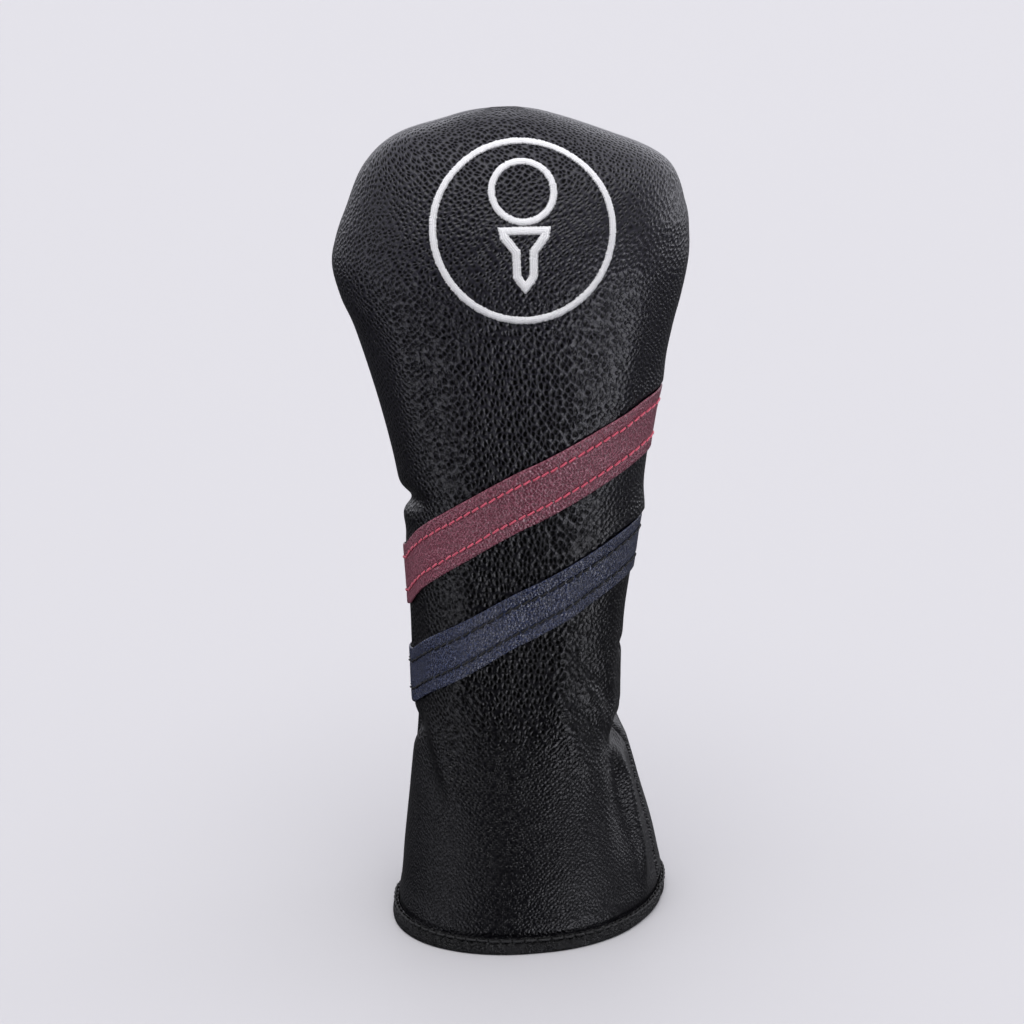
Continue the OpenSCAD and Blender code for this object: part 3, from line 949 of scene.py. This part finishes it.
def noise(tree, vector, scale, detail=2.0, roughness=0.5):
    """Uneven values around a half, with scale in features per millimetre."""
    inputs = {"Vector": vector, "Scale": scale, "Detail": detail, "Roughness": roughness}
    return put(tree, "TexNoise", inputs, noise_dimensions="3D").outputs[0]


def warped(tree, vector, scale, amount):
    """Coordinates pushed about by noise, so that cells aren't regular."""
    push = put(tree, "TexNoise", {"Vector": vector, "Scale": scale, "Detail": 1.0}).outputs[1]
    shift = vector_calc(tree, "MULTIPLY", vector_calc(tree, "SUBTRACT", push, (0.5,) * 3), (amount,) * 3)
    return vector_calc(tree, "ADD", vector, shift)


def cells(tree, vector, cell, randomness, feature, space):
    """A pattern of uneven cells."""
    inputs = {"Vector": vector, "Scale": 1 / cell, "Randomness": randomness}
    return put(tree, "TexVoronoi", inputs, feature=feature, voronoi_dimensions=space).outputs


def pits(tree, vector, cell, inner, outer, space="2D"):
    """Round pits, up to 1 in their middles, and the lines of the raised net between them, up to 1."""
    turned = {"Vector": vector, "Angle": math.pi / 4}
    slanted = put(tree, "VectorRotate", turned, rotation_type="Z_AXIS").outputs[0]
    nearest = cells(tree, slanted, cell, 0.66, "F1", space)
    edge = cells(tree, slanted, cell, 0.66, "DISTANCE_TO_EDGE", space)
    pit = ramp(tree, nearest["Distance"], inner, outer, 1.0, 0.0)
    pit = times(tree, pit, ramp(tree, nearest["Color"], 0.0, 1.0, 0.7, 1.0))
    return pit, ramp(tree, edge["Distance"], 0.02, 0.2, 1.0, 0.0)


def creases(tree, vector, cell, space="2D"):
    """Thin lines between cells: 1 on the lines and 0 inside the cells."""
    edge = cells(tree, vector, cell, 0.95, "DISTANCE_TO_EDGE", space)
    return ramp(tree, edge["Distance"], 0.0, 0.25, 1.0, 0.0)


def bump(tree, height, distance, normal=None):
    """A bump of a height given as a share of a distance in design millimetres."""
    inputs = {"Height": height, "Distance": distance * UNIT, "Strength": 1.0}
    if normal is not None:
        inputs["Normal"] = normal
    return put(tree, "Bump", inputs).outputs[0]


def attribute(tree, name, output="Fac"):
    """A value stored at the mesh's points."""
    return put(tree, "Attribute", attribute_name=name).outputs[output]


# ---- materials

PIT_DEPTH = 0.42
SMALL_PIT, LARGE_PIT, LARGE_STRETCH = 1.95, 2.1, 0.7
NET_BLACK = (0.0100, 0.0094, 0.0142, 1)
# a greyer black for the raised net, as a painted highlight
NET_HIGHLIGHT_BLACK = (0.0245, 0.0232, 0.0325, 1)
# painted shade in the pits and creases of the grain
PIT_SHADE_BLACK = (0.0008, 0.0007, 0.001, 1)
# painted shade where a stitch goes down into its holes
HOLE_SHADE_BLACK = (0.002, 0.002, 0.002, 1)


def pebble_grain(tree, hide):
    """The pits and the net between them: stretched large down the front, and small elsewhere."""
    deep, coarse = attribute(tree, "deep"), attribute(tree, "coarse")
    bent = warped(tree, hide, 0.16, 2.2)
    small, small_net = pits(tree, bent, SMALL_PIT, 0.08, 0.58)
    longer = vector_calc(tree, "MULTIPLY", bent, (1, LARGE_STRETCH, 1))
    large, large_net = pits(tree, longer, LARGE_PIT, 0.12, 0.58)
    pit = times(tree, mix(tree, coarse, small, large), deep)
    return pit, times(tree, mix(tree, coarse, small_net, large_net), deep)


def pebble_colour(tree, low, net, up):
    """Black, darkest in the pits and creases as painted shade, greyer on the raised net as a painted
    highlight, and darker towards the skirt as painted shade from the head above.
    """
    # painted shade: the colour goes near black in the pits and creases
    hollow = mix_colour(tree, ramp(tree, low, 0.05, 0.55), NET_BLACK, PIT_SHADE_BLACK)
    # painted highlight on the raised net, weaker lower down as painted shade
    net_highlight = times(tree, net, ramp(tree, up, 110, 220, 0.3, 1.0))
    # painted shade from the head above: darker lower down, a little lighter on the crown
    grey = dict.fromkeys((0, 1, 2), ramp(tree, up, 100, 285, 0.3, 1.12))
    darker = put(tree, "CombineColor", grey).outputs[0]
    inputs = {0: 1.0, 6: mix_colour(tree, net_highlight, hollow, NET_HIGHLIGHT_BLACK), 7: darker}
    return put(tree, "Mix", inputs, data_type="RGBA", blend_type="MULTIPLY").outputs[2]


def pebbled_leather(name):
    """Black leather with pits in a raised net, which is large and deep down the front."""
    made, tree, place = start_material(name)
    hide = attribute(tree, "hide", "Vector")
    pit, net = pebble_grain(tree, hide)
    lines = creases(tree, warped(tree, hide, 0.3, 0.9), 1.3)
    micro, drift = noise(tree, place, 3.2, 3.0, 0.6), noise(tree, place, 0.03, 2.0)
    sunk = calc(tree, "SUBTRACT", pit, times(tree, net, 0.2))
    sunk = plus(tree, sunk, times(tree, lines, 0.07))
    rounded = bump(tree, times(tree, sunk, -1.0), PIT_DEPTH)
    # how far down into a pit or crease, for the painted shade in pebble_colour
    low = plus(tree, pit, times(tree, lines, 0.12))
    up = put(tree, "SeparateXYZ", {0: place}).outputs["Z"]
    rough = plus(tree, ramp(tree, drift, 0.3, 0.7, 0.25, 0.33), times(tree, micro, 0.06))
    gloss = ramp(tree, pit, 0.25, 0.75, 0.37, 0.05)
    gloss = times(tree, gloss, ramp(tree, up, 100, 230, 0.74, 1.0))
    shade(tree, {"Base Color": pebble_colour(tree, low, net, up), "Roughness": rough,
                 "Normal": bump(tree, micro, 0.035, rounded), "Specular IOR Level": gloss})
    return made


def fine_leather(name, dark, light, cell, depth, rough, gloss, space="2D"):
    """Leather of a finer grain, for the stripes and the binding. Its colour holds painted shade and
    highlight: dark in the pits and creases, light on the raised grain, with a random drift of tone.
    """
    made, tree, place = start_material(name)
    where = attribute(tree, "hide", "Vector") if space == "2D" else place
    bent = warped(tree, where, 0.4, 1.2)
    longer = vector_calc(tree, "MULTIPLY", bent, (1, 0.6, 1))
    pit, net = pits(tree, longer, cell, 0.1, 0.6, space)
    lines = creases(tree, bent, cell * 1.3, space=space)
    drift = noise(tree, place, 0.06, 3.0)
    low = plus(tree, pit, times(tree, lines, 0.4))
    # painted shade in the pits and creases and painted highlight on the raised grain, mixed with a random
    # drift of tone
    tone = ramp(tree, plus(tree, low, times(tree, drift, 0.5)), 0.15, 1.0)
    raised = calc(tree, "SUBTRACT", times(tree, net, 0.3), low)
    varied = ramp(tree, drift, 0.3, 0.7, rough - 0.05, rough + 0.06)
    shade(tree, {"Base Color": mix_colour(tree, tone, light, dark), "Roughness": varied,
                 "Normal": bump(tree, raised, depth), "Specular IOR Level": gloss})
    return made


def thread_material(name, colour, dark, twist, rough, sheen, hole=1.0):
    """Twisted thread: fine slanted plies round each stitch, darker between the plies as painted shade, and
    dark ends in its holes as painted shade.
    """
    made, tree, place = start_material(name)
    along = attribute(tree, "along")
    phase = plus(tree, times(tree, along, twist), attribute(tree, "around"))
    ply = calc(tree, "ABSOLUTE", calc(tree, "SINE", times(tree, phase, 2 * math.pi)))
    # painted shade: darker between the plies, with random tone from noise
    tone = plus(tree, times(tree, ply, 0.7), times(tree, noise(tree, place, 6.0), 0.4))
    from_middle = calc(tree, "ABSOLUTE", calc(tree, "SUBTRACT", along, 0.5))
    in_hole = ramp(tree, from_middle, hole, hole + 0.08)
    # painted shade: a stitch's ends go black in its holes
    seen = mix_colour(tree, in_hole, mix_colour(tree, tone, dark, colour), HOLE_SHADE_BLACK)
    shade(tree, {"Base Color": seen, "Normal": bump(tree, ply, 0.08), "Roughness": rough,
                 "Sheen Weight": sheen})
    return made


def cloth_material(name, dark, light, scale, depth, rough, sheen):
    """Fleece, foam, elastic or backing: a fine uneven texture with a soft sheen."""
    made, tree, place = start_material(name)
    fibres, lumps = noise(tree, place, scale, 4.0, 0.7), noise(tree, place, scale * 0.2)
    tone = plus(tree, times(tree, fibres, 0.6), times(tree, lumps, 0.4))
    seen = mix_colour(tree, ramp(tree, tone, 0.3, 0.7), dark, light)
    shade(tree, {"Base Color": seen, "Normal": bump(tree, tone, depth), "Roughness": rough,
                 "Sheen Weight": sheen})
    return made


black_leather = pebbled_leather("black_pebbled_leather")
# each fine leather's dark colour is painted shade in its pits and creases, and its light colour a painted
# highlight on its raised grain
binding_leather = fine_leather(
    "binding_leather", (0.0006, 0.0006, 0.0008, 1), (0.003, 0.0028, 0.0038, 1), 0.9, 0.25, 0.26, 0.25,
    "3D")
red_leather = fine_leather(
    "red_leather", (0.155, 0.033, 0.054, 1), (0.33, 0.1, 0.143, 1), 0.85, 0.17, 0.3, 0.6)
navy_leather = fine_leather(
    "navy_leather", (0.011, 0.014, 0.036, 1), (0.036, 0.047, 0.104, 1), 0.85, 0.17, 0.28, 0.6)
cut_leather = fine_leather(
    "cut_leather_edge", (0.001, 0.001, 0.0015, 1), (0.004, 0.004, 0.005, 1), 0.8, 0.1, 0.7, 0.1, "3D")
# each thread's dark colour is painted shade between its plies
black_thread = thread_material(
    "black_thread", (0.006, 0.006, 0.007, 1), (0.0015, 0.0015, 0.002, 1), 4.0, 0.6, 0.0, 0.42)
red_thread = thread_material(
    "red_thread", (0.8, 0.12, 0.19, 1), (0.4, 0.03, 0.065, 1), 4.0, 0.5, 0.2, 0.36)
white_thread = thread_material("white_thread", (0.95, 0.94, 0.94, 1), (0.7, 0.7, 0.71, 1), 2.0, 0.5, 0.4)
fleece_cloth = cloth_material(
    "fleece", (0.01, 0.01, 0.011, 1), (0.035, 0.035, 0.038, 1), 1.6, 0.6, 0.95, 0.6)
foam_cloth = cloth_material("foam", (0.4, 0.4, 0.38, 1), (0.62, 0.62, 0.6, 1), 1.8, 0.4, 0.95, 0.1)
elastic_cloth = cloth_material(
    "elastic", (0.01, 0.01, 0.011, 1), (0.05, 0.05, 0.055, 1), 1.5, 0.2, 0.8, 0.2)
plain_cloth = cloth_material(
    "backing_cloth", (0.5, 0.5, 0.48, 1), (0.72, 0.72, 0.7, 1), 2.5, 0.15, 0.9, 0.1)


# ---- pieces on the frame

PIECES = [
    (front_leather, black_leather, "black_leather", "front_panel"),
    (back_leather, black_leather, "black_leather", "back_panel"),
    (front_fleece, fleece_cloth, "fleece", "front_lining"),
    (back_fleece, fleece_cloth, "fleece", "back_lining"),
    (front_pad, foam_cloth, "foam", "front_foam"),
    (back_pad, foam_cloth, "foam", "back_foam"),
    (elastic, elastic_cloth, "elastic", "neck_elastic"),
    (elastic_stitches, black_thread, "black_thread", "elastic_stitches"),
    (mouth_binding, binding_leather, "binding_leather", "mouth_binding"),
    (binding_thread, black_thread, "black_thread", "mouth_binding_stitches"),
    (seam_thread, black_thread, "black_thread", "panel_seam_stitches"),
    (red_stripe, red_leather, "red_leather", "red_stripe"),
    (red_upper, red_thread, "red_thread", "red_stitches_upper"),
    (red_lower, red_thread, "red_thread", "red_stitches_lower"),
    (navy_stripe, navy_leather, "navy_leather", "navy_stripe"),
    (navy_upper, black_thread, "black_thread", "navy_stitches_upper"),
    (navy_lower, black_thread, "black_thread", "navy_stitches_lower"),
    (ring_thread, white_thread, "white_embroidery", "emblem_ring"),
    (ball_thread, white_thread, "white_embroidery", "emblem_ball"),
    (tee_thread, white_thread, "white_embroidery", "emblem_tee"),
    (backing, plain_cloth, "backing_cloth", "emblem_backing"),
]
for piece, finish, slot_name, node in PIECES:
    piece.data.materials.append(finish)
    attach(piece, "root")
    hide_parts(node)
for strip in (red_stripe, navy_stripe):
    strip.data.materials.append(cut_leather)

# ---- floor, light and camera

AIM = Vector((-7 * UNIT, 0, 165 * UNIT))
AZIMUTH, ELEVATION = math.radians(-6), math.radians(18)
CAMERA_DISTANCE = 1.2
LENS = 107.6
FLOOR_COLOUR = (0.483, 0.476, 0.486, 1)


def toward(azimuth, elevation):
    """Unit direction from the aim to a place seen at an azimuth from the front, and an elevation."""
    flat = math.cos(elevation)
    return Vector((math.sin(azimuth) * flat, -math.cos(azimuth) * flat, math.sin(elevation)))


def place_facing_aim(name, data, azimuth, elevation, distance):
    """A camera or light at a distance from the aim, turned to it."""
    made = bpy.data.objects.new(name, data)
    bpy.context.scene.collection.objects.link(made)
    made.location = AIM + toward(azimuth, elevation) * distance
    made.rotation_euler = (AIM - made.location).to_track_quat("-Z", "Y").to_euler()
    return made


def add_camera():
    """The camera at the photograph's viewing angle."""
    data = bpy.data.cameras.new("camera")
    data.lens = LENS
    data.sensor_width = 36
    data.clip_end = 50
    bpy.context.scene.camera = place_facing_aim("camera", data, AZIMUTH, ELEVATION, CAMERA_DISTANCE)


def add_sun(name, azimuth, elevation, strength, spread):
    """A wide soft light from far away, with its angles in degrees."""
    data = bpy.data.lights.new(name, "SUN")
    data.energy = strength
    data.angle = math.radians(spread)
    place_facing_aim(name, data, math.radians(azimuth), math.radians(elevation), 3)


def add_floor():
    """The pale floor. It is left out of reflections and bounced light, so that the black stays deep."""
    bpy.ops.mesh.primitive_circle_add(vertices=96, radius=9, fill_type="NGON")
    floor = bpy.context.object
    floor.name = "floor"
    made, tree, _ = start_material("floor_paper")
    shade(tree, {"Base Color": FLOOR_COLOUR, "Roughness": 0.6, "Specular IOR Level": 0.2})
    floor.data.materials.append(made)
    floor.visible_glossy = False
    floor.visible_diffuse = False


DARK_ROOM = (-0.05, -0.995, 0.06)  # towards the middle of the dark room in front
ROOM_EDGE = (0.8, 0.1)
LEFT_SHARE, LOW_SHARE = 0.38, 0.22
ROOM_LIGHT, SIDE_LIGHT, SKY_LIGHT, BACKDROP_LIGHT = 0.01, 0.46, 0.72, 0.76
FILL_LIGHT = 0.34  # more light for surfaces that aren't glossy
# Soft bands of light: turn from the front, lowest and highest share of up, and strength
BANDS = [(-56, -0.9, 0.0, 3.5), (42, -0.9, 0.0, 7.0), (108, -0.15, 0.42, 4.0), (-88, -0.15, 0.5, 2.4)]
BAND_FADE = 0.2
BAND_EDGE = (0.965, 0.995)
# A soft light behind the cover, which shows along the crown
BEHIND_EDGE, BEHIND_LOW, BEHIND_HIGH = (-0.3, -0.8), (-0.15, 0.1), (0.5, 0.3)
BEHIND_LIGHT = 1.2
WORLD_COLOUR = (0.93, 0.93, 1.0, 1)


def facing(tree, way, direction):
    """How nearly a way looks in a direction, up to 1."""
    inputs = {0: way, 1: direction}
    return put(tree, "VectorMath", inputs, operation="DOT_PRODUCT").outputs["Value"]


def room_light(tree, way, front, height):
    """Dim light round a dark room in front, weaker on the left and below, and brighter overhead."""
    right = put(tree, "SeparateXYZ", {0: way}).outputs["X"]
    balance = ramp(tree, right, -0.7, 0.3, LEFT_SHARE, 1.0)
    around = times(tree, ramp(tree, front, *ROOM_EDGE, ROOM_LIGHT, SIDE_LIGHT), balance)
    light = times(tree, around, ramp(tree, height, -0.3, 0.05, LOW_SHARE, 1.0))
    return plus(tree, light, ramp(tree, height, 0.24, 1.0, 0.0, SKY_LIGHT))


def band_light(tree, level_way, height, azimuth, low_end, high_end, strength):
    """One upright band of light, soft at its edges."""
    a = math.radians(azimuth)
    across = ramp(tree, facing(tree, level_way, (math.sin(a), -math.cos(a), 0)), *BAND_EDGE)
    under_top = ramp(tree, height, high_end, high_end - BAND_FADE)
    tall = times(tree, under_top, ramp(tree, height, low_end, low_end + BAND_FADE))
    return times(tree, times(tree, across, tall), strength)


def light_behind(tree, front, height):
    """The soft light behind the cover."""
    behind = times(tree, ramp(tree, front, *BEHIND_EDGE), ramp(tree, height, *BEHIND_LOW))
    behind = times(tree, behind, ramp(tree, height, *BEHIND_HIGH))
    return times(tree, behind, BEHIND_LIGHT)


def add_world():
    """The studio's light: the room, soft bands and a light behind. The camera sees a plain backdrop."""
    world = bpy.data.worlds.new("studio")
    bpy.context.scene.world = world
    world.use_nodes = True
    tree = world.node_tree
    back = tree.nodes["Background"]
    way = put(tree, "TexCoord").outputs["Generated"]
    height = put(tree, "SeparateXYZ", {0: way}).outputs["Z"]
    front = facing(tree, way, DARK_ROOM)
    light = room_light(tree, way, front, height)
    flat_way = vector_calc(tree, "MULTIPLY", way, (1, 1, 0))
    level_way = put(tree, "VectorMath", {0: flat_way}, operation="NORMALIZE").outputs[0]
    for band in BANDS:
        light = plus(tree, light, band_light(tree, level_way, height, *band))
    light = plus(tree, light, light_behind(tree, front, height))
    path = put(tree, "LightPath").outputs
    fill = times(tree, ramp(tree, height, -0.5, 0.7, 0.3, 1.0), FILL_LIGHT)
    light = mix(tree, path["Is Glossy Ray"], plus(tree, light, fill), light)
    tree.links.new(mix(tree, path["Is Camera Ray"], light, BACKDROP_LIGHT), back.inputs["Strength"])
    back.inputs["Color"].default_value = WORLD_COLOUR


add_camera()
add_floor()
add_world()
add_sun("overhead_sky", 0, 82, 0.7, 60)
add_sun("front_sky", -12, 66, 1.05, 44)
bpy.context.scene.view_settings.view_transform = "Standard"
